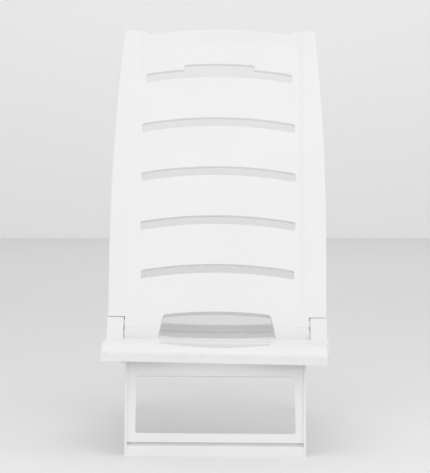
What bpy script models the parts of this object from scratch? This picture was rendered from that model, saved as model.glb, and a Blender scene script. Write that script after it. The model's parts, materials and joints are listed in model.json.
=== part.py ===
"""Low folding garden lounger, moulded in white plastic, as separate named pieces.

Four mouldings (seat, back, front leg frame, rear leg frame) turn on six headed hinge pins,
each held by a push-on cap. Metres, +Z up, -Y is the front, the origin is on the floor under
the middle of the object.
"""
import bmesh
import bpy
from math import acos, asin, cos, hypot, pi, radians, sin
from mathutils import Matrix, Vector

# ---------------------------------------------------------------- driving dimensions
LIP_Y = -0.3088            # front face of the seat's lip
LIP_TOP = 0.1850           # height of the lip's top edge, below the roll
CREST_Z = 0.1962           # highest line of the seat, where the front roll ends
CREST_Y = 0.0360           # its distance behind the lip
SEAT_REAR_Z = 0.1660       # seat surface at its rear edge
SEAT_DEPTH = 0.3240        # lip to the seat's rear edge
SEAT_HALF_FRONT = 0.2000
SEAT_HALF_REAR = 0.2085
LIP_HEIGHT = 0.0190
SKIRT = 0.0260             # depth of the seat's side walls
WALL = 0.0030              # moulding wall
GAP = 0.0003               # clearance between touching pieces

PIVOT_Y = 0.3550           # back hinge axis behind the lip
PIVOT_Z = 0.1830
RECLINE = 25.0             # back from the vertical, degrees
EAR_RADIUS = 0.0197
EAR_INNER = 0.1770
EAR_GAP = 0.0018           # running gap between an ear and the back's shoulder

BACK_TOP = 0.6165          # top of the back along itself, from the hinge axis
BACK_HALF = 0.2092
BARREL_WIDEST = 0.2000     # the sides draw in above and below this
BARREL_ABOVE = 0.1175
BARREL_BELOW = 0.0375
BACK_FRONT = 0.0100        # front face ahead of the hinge axis
BACK_REAR = 0.0110         # rear rim behind the hinge axis
BEND_RADIUS = 3.0          # lengthwise hollow of the back
TROUGH = 0.0030            # how far the slatted middle lies behind the side borders
BORDER_START = 0.1562      # where the slatted middle starts to rise to the border
BORDER_WIDTH = 0.0120
LOBE_HALF = 0.1752         # outer side of the back between the ears
LOBE_RADIUS = 0.0290
LOBE_INNER = 0.1130        # inner side of a lobe at its foot
HOLE_HALF = 0.1020         # gap between the lobes, at its arched top
HOLE_TOP = 0.0303
HOLE_RISE = 0.0068

SLOT_HEIGHT = 0.0180
ARCH_CURVE = 0.6190        # an arch drops by this times the square of x
SLOTS = ((0.1296, 0.1468), (0.2308, 0.1495), (0.3328, 0.1505), (0.4348, 0.1495), (0.5366, 0.1435))
HANDLE_HALF = 0.0690
HANDLE_RISE = 0.0092
SEAT_SLOT_START = 0.0135   # front edge of the first seat slot behind the lip
SEAT_SLOT_HALF = 0.1030
SEAT_SLOT_PITCH = 0.0620
SEAT_SLOT_WIDTH = 0.0200
SEAT_SLOT_RISE = 0.0150
SEAT_SLOT_COUNT = 5

FRONT_PIVOT = (0.0450, 0.1710)    # distance behind the lip, height
FRONT_LEAN = 14.0                 # feet forward of the hinge, degrees
FRONT_HALF = 0.1605
FRONT_DEPTH = 0.0180
OPENING_TOP = 0.0350              # opening of the front frame, below its hinge
OPENING_BOTTOM = 0.0395           # and above its foot
OPENING_HALF_TOP = 0.1398
OPENING_HALF_BOTTOM = 0.1420
FOOT_STEP = 0.0236                # height of the stepped foot bar

REAR_PIVOT_UP = 0.2700            # rear leg hinge along the back
REAR_PIVOT_BACK = 0.0300          # and behind the back's hinge line
REAR_INNER = 0.1590
REAR_OUTER = 0.1750
REAR_DEPTH = 0.0200
LUG_OUT = 0.1500                  # lug centre behind the back hinge
LUG_DOWN = 0.0200                 # and below it
LUG_RADIUS = 0.0042
LUG_INSET = 0.0030                # lug centre ahead of the stile's middle line
STEP_ANGLE = 9.0                  # recline between two notches
NOTCHES = 4

PIN_RADIUS = 0.0040
HEAD_RADIUS = 0.0085
HEAD_THICK = 0.0030
CAP_RADIUS = 0.0058
CAP_THICK = 0.0042

ARC_STEPS = 8
WELD = 0.00006             # points closer than this become one

COLLECTION = "folding_lounger"


# ---------------------------------------------------------------- scene and materials
def clear_scene():
    for obj in list(bpy.data.objects):
        bpy.data.objects.remove(obj, do_unlink=True)


def make_collection(name):
    collection = bpy.data.collections.new(name)
    bpy.context.scene.collection.children.link(collection)
    return collection


def make_material(name, colour, roughness):
    material = bpy.data.materials.new(name)
    material.use_nodes = True
    shader = material.node_tree.nodes["Principled BSDF"]
    shader.inputs["Base Color"].default_value = (*colour, 1.0)
    shader.inputs["Roughness"].default_value = roughness
    shader.inputs["Metallic"].default_value = 0.0
    return material


# ---------------------------------------------------------------- shape helpers
def mesh_object(name, mesh):
    obj = bpy.data.objects.new(name, mesh)
    parts.objects.link(obj)
    return obj


def evaluated_mesh(obj):
    bpy.context.view_layer.update()
    graph = bpy.context.evaluated_depsgraph_get()
    return bpy.data.meshes.new_from_object(obj.evaluated_get(graph))


def outline_solid(name, points, thickness, matrix):
    """A flat outline made into a slab of the given thickness, then placed by a matrix."""
    curve = bpy.data.curves.new(name, "CURVE")
    curve.dimensions = "2D"
    curve.fill_mode = "BOTH"
    curve.extrude = thickness / 2
    spline = curve.splines.new("POLY")
    spline.points.add(len(points) - 1)
    for point, (u, v) in zip(spline.points, points):
        point.co = (u, v, 0.0, 1.0)
    spline.use_cyclic_u = True
    guide = mesh_object(name + "_outline", curve)
    mesh = evaluated_mesh(guide)
    bpy.data.objects.remove(guide, do_unlink=True)
    bpy.data.curves.remove(curve)
    solid = bmesh.new()
    solid.from_mesh(mesh)
    bmesh.ops.remove_doubles(solid, verts=solid.verts, dist=1e-6)
    bmesh.ops.dissolve_limit(solid, angle_limit=radians(0.01), verts=solid.verts, edges=solid.edges)
    bmesh.ops.transform(solid, matrix=matrix, verts=solid.verts)
    bmesh.ops.recalc_face_normals(solid, faces=solid.faces)
    solid.to_mesh(mesh)
    solid.free()
    return mesh_object(name, mesh)


def side_solid(name, points, x_low, x_high):
    """A side view outline in (y, z), extruded from x_low to x_high."""
    middle = (x_low + x_high) / 2
    matrix = Matrix(((0, 0, 1, middle), (1, 0, 0, 0), (0, 1, 0, 0), (0, 0, 0, 1)))
    return outline_solid(name, points, x_high - x_low, matrix)


def front_solid(name, points, y_low, y_high):
    """A front view outline in (x, z), extruded from y_low to y_high."""
    middle = (y_low + y_high) / 2
    matrix = Matrix(((1, 0, 0, 0), (0, 0, -1, middle), (0, 1, 0, 0), (0, 0, 0, 1)))
    return outline_solid(name, points, y_high - y_low, matrix)


def plan_solid(name, points, z_low, z_high):
    """A plan outline in (x, y), extruded from z_low to z_high."""
    return outline_solid(name, points, z_high - z_low, Matrix.Translation((0, 0, (z_low + z_high) / 2)))


def block(name, low, high):
    size = Vector(high) - Vector(low)
    centre = (Vector(high) + Vector(low)) / 2
    mesh = bpy.data.meshes.new(name)
    solid = bmesh.new()
    matrix = Matrix.Translation(centre) @ Matrix.Diagonal((*size, 1.0))
    bmesh.ops.create_cube(solid, size=1.0, matrix=matrix)
    solid.to_mesh(mesh)
    solid.free()
    return mesh_object(name, mesh)


def rod(name, radius, x_low, x_high, y=0.0, z=0.0, segments=32):
    """A round bar along X."""
    mesh = bpy.data.meshes.new(name)
    solid = bmesh.new()
    matrix = Matrix.Translation(((x_low + x_high) / 2, y, z)) @ Matrix.Rotation(pi / 2, 4, "Y")
    bmesh.ops.create_cone(solid, cap_ends=True, segments=segments, radius1=radius, radius2=radius,
                          depth=x_high - x_low, matrix=matrix)
    solid.to_mesh(mesh)
    solid.free()
    return mesh_object(name, mesh)


def turned(name, profile, side):
    """A solid of revolution about X. The profile runs (radius, x), from the outer end inwards."""
    mesh = bpy.data.meshes.new(name)
    points = [(radius, 0.0, x) for radius, x in profile]
    mesh.from_pydata(points, [(i, i + 1) for i in range(len(points) - 1)], [])
    obj = mesh_object(name, mesh)
    screw = obj.modifiers.new("turn", "SCREW")
    screw.steps = screw.render_steps = 24
    screw.use_merge_vertices = True
    screw.merge_threshold = 0.00005
    mesh = evaluated_mesh(obj)
    obj.modifiers.clear()
    obj.data = mesh
    reshape(obj, lambda co: Vector((side * co.z, side * co.y, -co.x)))
    return obj


def combine(obj, others, operation):
    """Boolean obj with each of the other solids, which are used up."""
    for other in others:
        modifier = obj.modifiers.new(operation, "BOOLEAN")
        modifier.operation = operation
        modifier.solver = "EXACT"
        modifier.object = other
        mesh = evaluated_mesh(obj)
        obj.modifiers.clear()
        obj.data = mesh
        bpy.data.objects.remove(other, do_unlink=True)
    return obj


def cut(obj, *others):
    return combine(obj, others, "DIFFERENCE")


def gather(*solids):
    """Put solids that lie clear of each other into one object, as one cutter."""
    first = solids[0]
    shape = bmesh.new()
    for solid in solids:
        shape.from_mesh(solid.data)
    shape.to_mesh(first.data)
    shape.free()
    for solid in solids[1:]:
        bpy.data.objects.remove(solid, do_unlink=True)
    return first


def join(obj, *others):
    return combine(obj, others, "UNION")


def span(side, inner, outer):
    """The X range between two distances from the middle, on the side 1 or -1."""
    return (inner, outer) if side > 0 else (-outer, -inner)


def edit(obj, action):
    solid = bmesh.new()
    solid.from_mesh(obj.data)
    action(solid)
    solid.to_mesh(obj.data)
    solid.free()


def round_edges(obj, radius, segments, chosen):
    """Round the edges whose two ends both pass the test."""
    def action(solid):
        edges = [edge for edge in solid.edges if all(chosen(vert.co) for vert in edge.verts)
                 and edge.calc_face_angle(0.0) > radians(20)]
        bmesh.ops.bevel(solid, geom=edges, offset=radius, segments=segments, profile=0.5,
                        affect="EDGES", clamp_overlap=True)
    edit(obj, action)


def slice_along(obj, axis, stations):
    """Add edge loops at the stations, so that a bend has points to move."""
    normal = Vector((0, 0, 0))
    normal[axis] = 1.0

    def action(solid):
        for station in stations:
            geometry = solid.verts[:] + solid.edges[:] + solid.faces[:]
            bmesh.ops.bisect_plane(solid, geom=geometry, dist=1e-6, plane_co=normal * station,
                                   plane_no=normal)
    edit(obj, action)


def reshape(obj, move):
    """Move every point by a rule that takes and gives a Vector."""
    def action(solid):
        for vert in solid.verts:
            vert.co = move(vert.co.copy())
    edit(obj, action)


def place(obj, y, z):
    reshape(obj, lambda co: co + Vector((0, y, z)))


def finish(obj, location, rotation, material, smooth=35.0):
    def action(solid):
        bmesh.ops.remove_doubles(solid, verts=solid.verts, dist=WELD)
        bmesh.ops.dissolve_degenerate(solid, dist=WELD / 2, edges=solid.edges)
        bmesh.ops.triangulate(solid, faces=solid.faces)
        bmesh.ops.recalc_face_normals(solid, faces=solid.faces)
    edit(obj, action)
    obj.location = location
    obj.rotation_euler = (radians(rotation), 0.0, 0.0)
    obj.data.materials.clear()
    obj.data.materials.append(material)
    obj.data.shade_smooth()
    obj.data.set_sharp_from_angle(angle=radians(smooth))
    return obj


# ---------------------------------------------------------------- shared geometry
def arch(half, top, rise, steps=ARC_STEPS):
    """Points from -half to half on an arc that peaks at top in the middle."""
    return [(half * (2 * i / steps - 1), top - rise * (2 * i / steps - 1) ** 2)
            for i in range(steps + 1)]


def turn(y, z, degrees):
    """Turn a side view point about the origin; positive folds the back forward."""
    angle = radians(degrees)
    return y * cos(angle) - z * sin(angle), y * sin(angle) + z * cos(angle)


def back_bend(z):
    """How far the back's surface lies behind its chord at a height along the back."""
    height = min(max(z, 0.0), BACK_TOP)
    return (height * (BACK_TOP - height)) / (2 * BEND_RADIUS)


def rear_pivot():
    """The rear leg hinge in the side view, from the back hinge."""
    return turn(REAR_PIVOT_BACK, REAR_PIVOT_UP, -RECLINE)


def lug_in_rear_frame(recline_step):
    """The seat's lug as the rear leg frame sees it, in the frame's own side view."""
    lug_y, lug_z = turn(LUG_OUT, -LUG_DOWN, recline_step * STEP_ANGLE)
    pivot_y, pivot_z = rear_pivot()
    return turn(lug_y - pivot_y, lug_z - pivot_z, -rear_tilt())


def rear_tilt():
    """Rotation of the rear leg frame that puts its first notch on the lug, in degrees."""
    pivot_y, pivot_z = rear_pivot()
    away_y = LUG_OUT - pivot_y
    down = pivot_z + LUG_DOWN
    return -(asin(-away_y / hypot(away_y, down)) - asin(LUG_INSET / hypot(away_y, down))) * 180 / pi


# ---------------------------------------------------------------- seat
def seat_top(y):
    """Height of the seat surface at a distance behind the lip."""
    if y < CREST_Y:
        return CREST_Z - (CREST_Z - LIP_TOP) * ((CREST_Y - y) / CREST_Y) ** 2
    run = (y - CREST_Y) / (SEAT_DEPTH - CREST_Y)
    return CREST_Z - (CREST_Z - SEAT_REAR_Z) * run ** 1.15


def seat_profile(drop, inset, skirt, rear):
    """Side view outline of the seat, drop below its surface and inset from the lip."""
    roll = [CREST_Y * i / 5 for i in range(1, 6)]
    rest = [CREST_Y + (rear - CREST_Y) * i / 8 for i in range(1, 9)]
    top = [(y, seat_top(y) - drop) for y in [inset] + roll + rest]
    bottom = [(rear, seat_top(rear) - skirt), (0.24, seat_top(0.24) - skirt),
              (0.12, seat_top(0.12) - skirt), (inset, LIP_TOP - LIP_HEIGHT - (skirt - SKIRT))]
    return top + bottom


def seat_width(point):
    """Draw the seat in towards its lip and round the lip's corners in plan."""
    run = min(max(point.y / 0.25, 0.0), 1.0)
    half = SEAT_HALF_FRONT + (SEAT_HALF_REAR - SEAT_HALF_FRONT) * run * run * (3 - 2 * run)
    point.x *= half / SEAT_HALF_REAR
    return point


def seat_slot(index):
    """One arched slot of the seat, bowed towards the front."""
    near = SEAT_SLOT_START + index * SEAT_SLOT_PITCH
    front = [(x, near + SEAT_SLOT_RISE * (x / SEAT_SLOT_HALF) ** 2)
             for x, _ in arch(SEAT_SLOT_HALF, 0, 0)]
    rear = [(x, y + SEAT_SLOT_WIDTH) for x, y in reversed(front)]
    return plan_solid("seat_slot", front + rear, 0.10, 0.25)


def seat_ear(name, side):
    """Hinge ear: a round knuckle on the side wall, flat in front where it meets the back's plane."""
    low, high = span(side, EAR_INNER, SEAT_HALF_REAR)
    first = acos(-BACK_FRONT / EAR_RADIUS)
    last = radians(-40)
    steps = 3 * ARC_STEPS
    knuckle = [turn(-BACK_FRONT, -0.0125, -RECLINE)]
    for i in range(steps + 1):
        angle = first + (last - first) * i / steps
        knuckle.append(turn(EAR_RADIUS * cos(angle), EAR_RADIUS * sin(angle), -RECLINE))
    knuckle = [(PIVOT_Y + y, PIVOT_Z + z) for y, z in knuckle]
    start = SEAT_DEPTH - 0.0172
    floor_z = seat_top(SEAT_DEPTH) - SKIRT
    outline = [(start, floor_z + 0.0045), (start, seat_top(start) - 0.0068)] + knuckle
    outline += [(PIVOT_Y + 0.004, floor_z + 0.002)]
    return side_solid(name, outline, low, high)


def seat_arm(name, side):
    """Rear arm that carries the lug and the crossbar, under and behind the back's lobe."""
    low, high = span(side, 0.1480, 0.1560)
    lug_y, lug_z = PIVOT_Y + LUG_OUT, PIVOT_Z - LUG_DOWN
    rear_z = seat_top(SEAT_DEPTH)
    arm = side_solid(name, [
        (0.2900, seat_top(0.29) - 0.0020), (0.3215, rear_z - 0.0035), (0.3310, rear_z - 0.0135),
        (0.3800, rear_z - 0.0135), (lug_y - 0.050, lug_z + 0.003), (lug_y + 0.004, lug_z + 0.009),
        (lug_y + 0.009, lug_z + 0.004), (lug_y + 0.009, lug_z - 0.007), (lug_y - 0.004, lug_z - 0.013),
        (lug_y - 0.060, lug_z - 0.020), (0.3600, rear_z - 0.0300), (0.3000, rear_z - 0.0290),
        (0.2900, seat_top(0.29) - 0.0180)],
        low, high)
    reach = span(side, 0.1550, REAR_INNER - 0.0006)
    return join(arm, rod("lug", LUG_RADIUS, *reach, lug_y, lug_z, 24))


def seat_crossbar():
    """Bowed bar between the rear arms: a thick lower bar, a channel above it and two small ribs."""
    half = 0.1490
    bow = 0.0060
    height = 0.0125
    centre_z = PIVOT_Z - LUG_DOWN
    front, rear = PIVOT_Y + LUG_OUT - 0.012, PIVOT_Y + LUG_OUT + 0.007

    def band(top, bottom, reach):
        upper = [(x, centre_z + top - bow * (1 - (x / reach) ** 2)) for x, _ in arch(reach, 0, 0)]
        lower = [(x, centre_z + bottom - bow * (1 - (x / reach) ** 2)) for x, _ in arch(reach, 0, 0)]
        return upper + lower[::-1]
    bar = front_solid("crossbar", band(height, -height, half), front, rear)
    inner, shelf = half - 0.004, -0.0020
    channel = band(height - 0.0035, shelf, inner)
    underside = band(shelf - WALL, -height - 0.01, inner)
    cut(bar, front_solid("channel", channel, front - 0.01, rear - WALL),
        front_solid("underside", underside, front + WALL, rear - WALL))
    for x in (-0.062, 0.062):
        join(bar, block("rib", (x - 0.0013, front + 0.002, centre_z - height - 0.0035),
                        (x + 0.0013, rear - 0.001, centre_z + height - 0.0065)))
    return bar


def front_leg_bracket(name, low, high, radius, rear_reach):
    """Bracket under the seat that holds a front leg hinge pin."""
    y, z = FRONT_PIVOT
    top = seat_top(y) - 0.002
    plate = side_solid(name, [(y - 0.0110, top), (y - radius + 0.0008, z - 0.001),
                              (y + radius - 0.0008, z - 0.001), (y + rear_reach, top)], low, high)
    return join(plate, rod("boss", radius, low, high, y, z, 32))


def make_seat():
    seat = side_solid("seat_panel", seat_profile(0.0, 0.0, SKIRT, SEAT_DEPTH),
                      -SEAT_HALF_REAR, SEAT_HALF_REAR)
    round_edges(seat, 0.0060, 2, lambda co: co.y < 0.0001 and co.z > LIP_TOP - 0.001)
    round_edges(seat, 0.0040, 2, lambda co: abs(co.x) > SEAT_HALF_REAR - 0.0001
                and co.z > seat_top(max(co.y, 0.0)) - 0.0070)
    inside = side_solid("inside", seat_profile(WALL, WALL, 0.060, SEAT_DEPTH - WALL),
                        -SEAT_HALF_REAR + WALL, SEAT_HALF_REAR - WALL)
    ribs = [block("long_rib", (side * x - 0.00125, start, 0.10), (side * x + 0.00125, end, 0.25))
            for x, start, end in ((0.1110, 0.0, 0.4), (0.1400, 0.0, 0.4), (0.1800, 0.075, 0.295))
            for side in (-1, 1)]
    cut(inside, gather(*ribs))
    rims = []
    for index in range(SEAT_SLOT_COUNT):
        near = SEAT_SLOT_START + index * SEAT_SLOT_PITCH
        for y in (near - 0.0025, near + SEAT_SLOT_WIDTH):
            rim = [(x, y + SEAT_SLOT_RISE * (x / SEAT_SLOT_HALF) ** 2)
                   for x, _ in arch(SEAT_SLOT_HALF + 0.0060, 0, 0)]
            ring = rim + [(x, y + 0.0025) for x, y in reversed(rim)]
            rims.append(plan_solid("slot_rim", ring, 0.10, 0.25))
    cut(inside, gather(*rims))
    shallow = side_solid("shallow", seat_profile(0.0120, WALL, 0.060, SEAT_DEPTH - WALL),
                         -0.1765, 0.1765)
    join(inside, shallow)
    cut(seat, inside)
    reshape(seat, seat_width)
    cut(seat, gather(*[seat_slot(index) for index in range(SEAT_SLOT_COUNT)]))
    for side in (-1, 1):
        join(seat, seat_ear("ear", side), seat_arm("arm", side),
             front_leg_bracket("outer_bracket", *span(side, 0.1620, 0.1700), 0.0125, 0.0150),
             front_leg_bracket("inner_bracket", *span(side, 0.1370, 0.1440), 0.0085, 0.0072))
        low, high = span(side, 0.1450, 0.1590)
        y, z = FRONT_PIVOT
        join(seat, block("leg_stop", (low, y + 0.0104, z + 0.0100),
                         (high, y + 0.0140, seat_top(y) - 0.001)))
    join(seat, seat_crossbar())
    bores = []
    for side in (-1, 1):
        step = SEAT_HALF_REAR - HEAD_THICK - GAP
        sunk = turned("bore", [(0.0, 0.22), (HEAD_RADIUS + 0.0004, 0.22), (HEAD_RADIUS + 0.0004, step),
                               (PIN_RADIUS + GAP, step), (PIN_RADIUS + GAP, 0.17), (0.0, 0.17)], side)
        place(sunk, PIVOT_Y, PIVOT_Z)
        bores += [sunk, rod("front_bore", PIN_RADIUS + GAP, *span(side, 0.13, 0.18), *FRONT_PIVOT)]
    cut(seat, gather(*bores))
    return finish(seat, (0, LIP_Y, 0), 0.0, white)


# ---------------------------------------------------------------- back
def back_half_width(z):
    """Half the back's width at a height along it."""
    rate = BARREL_ABOVE if z > BARREL_WIDEST else BARREL_BELOW
    return BACK_HALF - rate * (z - BARREL_WIDEST) ** 2


def back_outline(inset):
    """Front view outline of the back, drawn in by inset, with the gap between its lobes."""
    side = [(back_half_width(z) - inset, z) for z in
            [-LOBE_RADIUS + inset, 0.05, 0.12] + [0.20 + 0.032 * i for i in range(13)]]
    corner = 0.006
    top = BACK_TOP - 0.0016 - inset
    wide = back_half_width(BACK_TOP) - inset
    tab = [(wide + 0.0005, top - corner), (wide - 0.0015, top - 0.0015), (wide - corner, top),
           (0.155, top - 0.0003), (0.146, top - 0.0027), (0.139, top - 0.0070), (0.1335, top - 0.0084)]
    crown = [(x, z) for x, z in reversed(arch(0.1270, BACK_TOP - inset, 0.0092))]
    right = side + tab
    left = [(-x, z) for x, z in reversed(right)]
    foot = (LOBE_INNER + inset, -LOBE_RADIUS + inset)
    hole = arch(HOLE_HALF + inset, HOLE_TOP + inset, HOLE_RISE)
    return right + crown + left + [(-foot[0], foot[1])] + hole + [foot]


def slot_outline(slot, grow):
    """One arched slot of the back, grown by a margin."""
    top, half = slot
    half += grow
    rise = ARCH_CURVE * half ** 2
    upper = arch(half, top + grow, rise)
    lower = arch(half, top - SLOT_HEIGHT - grow, rise)
    return upper + lower[::-1]


def handle_outline(grow):
    """Raised middle of the top slot, where a hand goes through."""
    slot_top, _ = SLOTS[-1]
    half = HANDLE_HALF + grow
    upper = arch(half, slot_top + HANDLE_RISE + grow, ARCH_CURVE * half ** 2, 6)
    return upper + [(half, slot_top - SLOT_HEIGHT / 2), (-half, slot_top - SLOT_HEIGHT / 2)]


def back_surface(point):
    """Bend the flat panel lengthwise and sink its slatted middle."""
    edge = min(max((abs(point.x) - BORDER_START) / BORDER_WIDTH, 0.0), 1.0)
    fade = min(max((point.z - 0.020) / 0.060, 0.0), 1.0) * min(max((BACK_TOP - point.z) / 0.030, 0.0), 1.0)
    sink = TROUGH * (1 - edge * edge * (3 - 2 * edge)) * fade
    point.y += back_bend(point.z) + sink
    return point


def rear_leg_bracket(low, high, sink):
    """Bracket on the back's rear that holds a rear leg hinge pin, rooted in the panel's skin."""
    y, z = REAR_PIVOT_BACK, REAR_PIVOT_UP
    root = back_bend(z) - BACK_FRONT + sink + 0.0015
    plate = side_solid("bracket", [(root, z + 0.020), (root, z - 0.020), (y + 0.001, z - 0.0098),
                                   (y + 0.001, z + 0.0098)], low, high)
    return join(plate, rod("boss", 0.0105, low, high, y, z, 32))


def make_back():
    back = front_solid("back_panel", back_outline(0.0), -BACK_FRONT, BACK_REAR)
    round_edges(back, 0.0035, 2, lambda co: co.y < -BACK_FRONT + 0.0001 and co.z > -0.010)
    pocket = front_solid("pocket", back_outline(WALL), -BACK_FRONT + WALL, 0.06)
    cut(pocket, gather(*[front_solid("rim", slot_outline(slot, 0.0025), -0.02, 0.0) for slot in SLOTS]),
        front_solid("handle_rim", handle_outline(0.0025), -0.02, 0.0))
    for side in (-1, 1):
        low, high = span(side, LOBE_HALF - WALL, 0.23)
        cut(pocket, rod("shoulder_wall", EAR_RADIUS + EAR_GAP + WALL, low, high, 0, 0, 64),
            block("lobe_wall", (low, -0.05, -0.05), (high, 0.07, 0.001)))
    long_ribs = [block("long_rib", (x - 0.00125, -0.02, 0.03), (x + 0.00125, 0.0085, 0.60))
                 for x in (-0.1535, 0.1535)]
    mid_ribs = [block("mid_rib", (x - 0.00125, -0.02, 0.03), (x + 0.00125, 0.0035, 0.60))
                for x in (-0.0560, 0.0560)]
    cross_ribs = []
    tops = [top for top, _ in SLOTS]
    for low, high in zip([0.04] + tops, tops):
        z = (low + high - SLOT_HEIGHT) / 2
        cross_ribs.append(block("cross_rib", (-0.206, -0.02, z - 0.00125), (0.206, 0.0015, z + 0.00125)))
    cut(pocket, gather(*long_ribs, *mid_ribs), gather(*cross_ribs))
    cut(back, pocket)
    cut(back, gather(*[front_solid("slot", slot_outline(slot, 0.0), -0.03, 0.03) for slot in SLOTS]),
        front_solid("handle", handle_outline(0.0), -0.03, 0.03))
    for side in (-1, 1):
        join(back, rod("lobe_boss", 0.0105, *span(side, 0.1500, LOBE_HALF - 0.001), 0, 0, 32))
    round_bottom = block("round_bottom", (-0.18, -0.05, -0.05), (0.18, 0.05, -0.0005))
    cut(round_bottom, rod("keep", LOBE_RADIUS, -0.19, 0.19, 0, 0, 48))
    cut(back, round_bottom)
    for side in (-1, 1):
        low, high = span(side, LOBE_HALF, 0.23)
        cut(back, rod("shoulder", EAR_RADIUS + EAR_GAP, low, high, 0, 0, 64),
            block("below", (low, -0.05, -0.05), (high, 0.05, 0.001)))
    slice_along(back, 2, [0.055, 0.150, 0.250, 0.350, 0.450, 0.585])
    border = (BORDER_START, BORDER_START + BORDER_WIDTH)
    slice_along(back, 0, [side * x for side in (-1, 1) for x in border])
    edit(back, lambda solid: bmesh.ops.triangulate(solid, faces=solid.faces))
    reshape(back, back_surface)
    bores = []
    for side in (-1, 1):
        join(back, rear_leg_bracket(*span(side, 0.1515, 0.1575), TROUGH),
             rear_leg_bracket(*span(side, 0.1765, 0.1825), 0.0))
        bores += [rod("bore", PIN_RADIUS + GAP, *span(side, 0.14, 0.18), 0, 0),
                  rod("bore", PIN_RADIUS + GAP, *span(side, 0.14, 0.19), REAR_PIVOT_BACK, REAR_PIVOT_UP)]
    cut(back, gather(*bores))
    return finish(back, (0, LIP_Y + PIVOT_Y, PIVOT_Z), -RECLINE, white)


# ---------------------------------------------------------------- front leg frame
def opening_outline(length, grow):
    """The front frame's opening, a little wider at the bottom, grown by a margin."""
    top, bottom = -OPENING_TOP + grow, OPENING_BOTTOM - length - grow
    half_top, half_bottom = OPENING_HALF_TOP + grow, OPENING_HALF_BOTTOM + grow
    return [(-half_bottom, bottom), (half_bottom, bottom), (half_top, top), (-half_top, top)]


def make_front_frame():
    """Open frame with a recessed web, side flanges and a foot bar, drawn from its hinge down."""
    _, pivot_z = FRONT_PIVOT
    length = pivot_z / cos(radians(FRONT_LEAN))
    front, rear = -FRONT_DEPTH / 2 - 0.001, FRONT_DEPTH / 2 - 0.001
    top, foot_top = -0.0030, FOOT_STEP - length
    flange, rim = 0.0045, 0.0025
    frame = block("front_leg_frame", (-FRONT_HALF, front, -length - 0.02), (FRONT_HALF, rear, top))
    cut(frame, front_solid("opening", opening_outline(length, 0.0), -0.05, 0.05))
    recess = block("recess", (-FRONT_HALF + flange, -0.05, foot_top - 0.0001),
                   (FRONT_HALF - flange, front + 0.0035, 0.05))
    slope = [(front - 0.02, foot_top), (front + 0.0115, foot_top),
             (front - 0.0002, 0.0030 - length), (front - 0.02, 0.0030 - length)]
    cut(frame, recess, side_solid("foot_slope", slope, -FRONT_HALF + flange, FRONT_HALF - flange))
    hollow = block("hollow", (-FRONT_HALF + WALL, front + 0.0065, foot_top + WALL),
                   (FRONT_HALF - WALL, 0.05, top - WALL))
    cut(hollow, front_solid("rim", opening_outline(length, rim), -0.05, 0.05))
    cut(frame, hollow)
    cut(frame, gather(*[block("notch", (low, -0.05, -0.0095), (high, 0.05, 0.05))
                        for low, high in (span(1, 0.1300, 0.1450), span(-1, 0.1300, 0.1450))]))
    gate_z = -OPENING_TOP + 0.0080
    join(frame, block("gate_mark", (-0.0016, front + 0.0029, gate_z - 0.0016),
                      (0.0016, front + 0.0040, gate_z + 0.0016)))
    for side in (-1, 1):
        low, high = span(side, 0.1455, FRONT_HALF)
        eye = rod("eye", 0.0085, low, high, 0, 0, 32)
        heel = [(-0.0040, 0.0010), (0.0070, 0.0010), turn(0.0100, 0.0165, FRONT_LEAN),
                turn(0.0020, 0.0165, FRONT_LEAN)]
        join(frame, join(eye, side_solid("heel", heel, low, high)))
    corner = [turn(y, z - pivot_z, FRONT_LEAN) for y, z in
              ((-0.3, 0.0), (0.3, 0.0), (0.3, -0.1), (-0.3, -0.1))]
    cut(frame, side_solid("floor", corner, -0.3, 0.3))
    cut(frame, gather(*[rod("bore", PIN_RADIUS + GAP, *span(side, 0.13, 0.18)) for side in (-1, 1)]))
    y, z = FRONT_PIVOT
    return finish(frame, (0, LIP_Y + y, z), -FRONT_LEAN, white)


# ---------------------------------------------------------------- rear leg frame
def crossbar(z, height):
    """Channel between the rear stiles, open to the rear."""
    low_y, high_y = 0.0, REAR_DEPTH / 2
    bar = block("bar", (-REAR_INNER - 0.001, low_y, z - height / 2),
                (REAR_INNER + 0.001, high_y, z + height / 2))
    return cut(bar, block("channel", (-REAR_INNER + 0.004, low_y + WALL, z - height / 2 + WALL),
                          (REAR_INNER - 0.004, 0.05, z + height / 2 - WALL)))


def rear_stile(side, tilt, length):
    """One leg: a channel open to the inside, solid where the notches are."""
    half = REAR_DEPTH / 2
    low, high = span(side, REAR_INNER, REAR_OUTER)
    stile = block("stile", (low, -half, -length - 0.02), (high, half, 0.0))
    join(stile, rod("eye", half, low, high, 0, 0, 32))
    notches = [lug_in_rear_frame(step) for step in range(NOTCHES)]
    rack_top = notches[-1][1] + 0.014
    rack_bottom = notches[0][1] - 0.012
    hollow = span(side, 0.10, REAR_OUTER - WALL)
    for z_low, z_high in ((-length + 0.012, rack_bottom), (rack_top, -0.016)):
        cut(stile, block("hollow", (hollow[0], -half + WALL, z_low), (hollow[1], half - WALL, z_high)))
    reach = LUG_RADIUS + 0.0005
    for y, z in notches:
        rise = 0.0035
        mouth = [(y, z - reach), (-half - 0.01, z - reach + rise), (-half - 0.01, z + reach + rise + 0.001),
                 (y, z + reach)]
        cut(stile, side_solid("mouth", mouth, low - 0.01, high + 0.01),
            rod("seat", reach, low - 0.01, high + 0.01, y, z, 24))
    pivot_height = PIVOT_Z + rear_pivot()[1]
    corner = [turn(y, z - pivot_height, -tilt) for y, z in
              ((-0.5, 0.0), (0.5, 0.0), (0.5, -0.1), (-0.5, -0.1))]
    return cut(stile, side_solid("floor", corner, -0.3, 0.3))


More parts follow.
